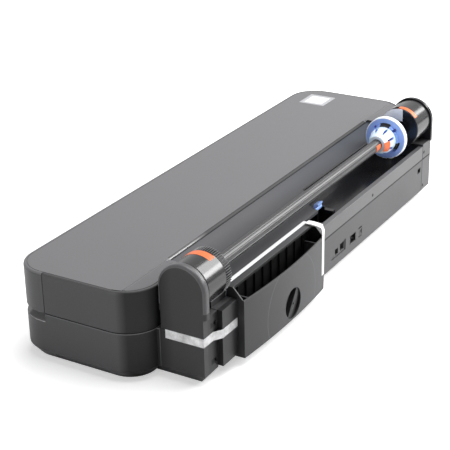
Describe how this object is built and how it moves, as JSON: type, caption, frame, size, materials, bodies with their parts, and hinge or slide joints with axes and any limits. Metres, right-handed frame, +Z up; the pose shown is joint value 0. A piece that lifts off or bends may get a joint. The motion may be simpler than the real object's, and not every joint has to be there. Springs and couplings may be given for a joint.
{
  "type": "wide format printer",
  "caption": "Desktop wide format roll printer with a lift-up lid, a roll spindle between end towers and a rear sheet bin.",
  "frame": {"origin": "centre of the footprint on the floor", "axes": "+X along the width towards the near end, +Y from the front face to the rear with the roll and the bin, +Z up"},
  "size_m": [1.013, 0.358, 0.203],
  "materials": {
    "shell_plastic": "fine matte texture",
    "lid_plastic": "fine matte texture",
    "cover_plastic": "fine matte texture",
    "drum_gloss": "piano gloss",
    "chute_plastic": "satin",
    "trough_gloss": "gloss",
    "foot_rubber": "matte",
    "sheet_steel": "zinc plated",
    "ground_steel": "ground and polished",
    "encoder_film": "printed film",
    "motor_steel": "satin",
    "engine_plastic": "fine texture",
    "board_green": "solder mask",
    "socket_black": "satin",
    "bezel_grey": "satin",
    "display_white": "gloss",
    "ink_colours": "gloss",
    "head_metal": "brushed",
    "gear_acetal": "moulded acetal",
    "pinion_brass": "machined",
    "roller_rubber": "ground",
    "spindle_black": "satin black",
    "gear_black": "satin",
    "hub_blue": "satin",
    "collet_blue": "satin"
  },
  "bodies": {
    "housing": {"base_shell": "shell_plastic", "upper_shell": "shell_plastic", "near_tower": "shell_plastic", "far_tower": "shell_plastic", "latch_block": "shell_plastic", "rear_cover": "cover_plastic", "near_drum": "drum_gloss", "far_drum": "drum_gloss", "chute_panel": "chute_plastic", "roll_trough": "trough_gloss", "rubber_feet": "foot_rubber", "wiper_blade": "foot_rubber", "drive_belt": "foot_rubber", "chassis_pan": "sheet_steel", "chassis_beam": "sheet_steel", "side_frames": "sheet_steel", "roller_brackets": "sheet_steel", "power_supply": "sheet_steel", "port_plate": "sheet_steel", "carriage_rail": "ground_steel", "hinge_pins": "ground_steel", "encoder_strip": "encoder_film", "carriage_motor": "motor_steel", "roll_motor": "motor_steel", "feed_motor": "motor_steel", "platen": "engine_plastic", "exit_guide": "engine_plastic", "service_station": "engine_plastic", "main_board": "board_green", "power_inlet": "socket_black", "case_screws": "socket_black"},
    "lid": {"lid": "lid_plastic", "display_bezel": "bezel_grey", "display_glass": "display_white"},
    "carriage": {"carriage": "engine_plastic", "ink_cartridges": "ink_colours", "print_head": "head_metal"},
    "drive_pulley": {"drive_pulley": "gear_acetal"},
    "idler_pulley": {"idler_pulley": "gear_acetal"},
    "feed_roller": {"feed_roller": "roller_rubber", "feed_gear": "gear_acetal"},
    "feed_pinion": {"feed_pinion": "pinion_brass"},
    "pinch_rollers": {"pinch_rollers": "roller_rubber"},
    "exit_roller": {"exit_roller": "roller_rubber"},
    "spindle": {"spindle_shaft": "spindle_black", "spindle_gear": "gear_black", "spindle_collar": "spindle_black"},
    "hub": {"sliding_hub": "hub_blue", "hub_collet": "collet_blue"},
    "roll_pinion": {"roll_pinion": "gear_acetal"},
    "bin": {"sheet_bin": "shell_plastic", "bin_pins": "ground_steel"},
    "knob": {"bin_knob": "engine_plastic"},
    "guide_near": {"bin_guide_near": "engine_plastic"},
    "guide_far": {"bin_guide_far": "engine_plastic"},
    "rocker": {"power_rocker": "socket_black"},
    "lever": {"sheet_lever": "hub_blue"}
  },
  "joints": [
    {"name": "lid_hinge", "type": "hinge", "parent": "housing", "child": "lid", "pos_m": [0, 0.031, 0.154], "axis": [-1, 0, 0], "range_deg": [0, 65]},
    {"name": "carriage_slide", "type": "slide", "parent": "housing", "child": "carriage", "axis": [1, 0, 0], "range_m": [0, 0.734]},
    {"name": "drive_pulley_spin", "type": "hinge", "parent": "housing", "child": "drive_pulley", "pos_m": [0.424, 0.011, 0.1063], "axis": [0, -1, 0], "range_deg": [0, 4678]},
    {"name": "idler_pulley_spin", "type": "hinge", "parent": "housing", "child": "idler_pulley", "pos_m": [-0.424, 0.011, 0.1063], "axis": [0, -1, 0], "range_deg": [0, 4678]},
    {"name": "feed_roller_spin", "type": "hinge", "parent": "housing", "child": "feed_roller", "pos_m": [0, -0.039, 0.066], "axis": [1, 0, 0], "continuous": true},
    {"name": "feed_pinion_spin", "type": "hinge", "parent": "housing", "child": "feed_pinion", "pos_m": [0.35, -0.059, 0.05251], "axis": [1, 0, 0], "continuous": true},
    {"name": "pinch_roller_spin", "type": "hinge", "parent": "housing", "child": "pinch_rollers", "pos_m": [0, -0.039, 0.0813], "axis": [1, 0, 0], "continuous": true},
    {"name": "exit_roller_spin", "type": "hinge", "parent": "housing", "child": "exit_roller", "pos_m": [0, -0.095, 0.071], "axis": [1, 0, 0], "continuous": true},
    {"name": "spindle_spin", "type": "hinge", "parent": "housing", "child": "spindle", "pos_m": [0, 0.1135, 0.16], "axis": [1, 0, 0], "continuous": true},
    {"name": "roll_pinion_spin", "type": "hinge", "parent": "housing", "child": "roll_pinion", "pos_m": [0.38, 0.09119, 0.11804], "axis": [1, 0, 0], "continuous": true},
    {"name": "hub_slide", "type": "slide", "parent": "spindle", "child": "hub", "axis": [1, 0, 0], "range_m": [0, 0.2]},
    {"name": "bin_tilt", "type": "hinge", "parent": "housing", "child": "bin", "pos_m": [0.233, 0.147, 0.028], "axis": [-1, 0, 0], "range_deg": [0, 22]},
    {"name": "knob_turn", "type": "hinge", "parent": "bin", "child": "knob", "pos_m": [0.2195, 0.171, 0.047], "axis": [0, 1, 0], "range_deg": [0, 90]},
    {"name": "guide_near_slide", "type": "slide", "parent": "bin", "child": "guide_near", "axis": [-1, 0, 0], "range_m": [0, 0.08]},
    {"name": "guide_far_slide", "type": "slide", "parent": "bin", "child": "guide_far", "axis": [1, 0, 0], "range_m": [0, 0.08]},
    {"name": "rocker_tip", "type": "hinge", "parent": "housing", "child": "rocker", "pos_m": [-0.098, 0.143, 0.044], "axis": [1, 0, 0], "range_deg": [-6, 6]},
    {"name": "lever_lift", "type": "hinge", "parent": "housing", "child": "lever", "pos_m": [0.002, 0.111, 0.122], "axis": [1, 0, 0], "range_deg": [0, 35]}
  ],
  "couplings": [
    {"joint": "drive_pulley_spin", "follows": "carriage_slide", "rad_per_m": 111.11},
    {"joint": "idler_pulley_spin", "follows": "carriage_slide", "rad_per_m": 111.11},
    {"joint": "feed_pinion_spin", "follows": "feed_roller_spin", "ratio": -3},
    {"joint": "pinch_roller_spin", "follows": "feed_roller_spin", "ratio": -2.75},
    {"joint": "exit_roller_spin", "follows": "feed_roller_spin", "ratio": 1.8333},
    {"joint": "roll_pinion_spin", "follows": "spindle_spin", "ratio": -4.2857},
    {"joint": "guide_far_slide", "follows": "guide_near_slide", "ratio": 1}
  ]
}
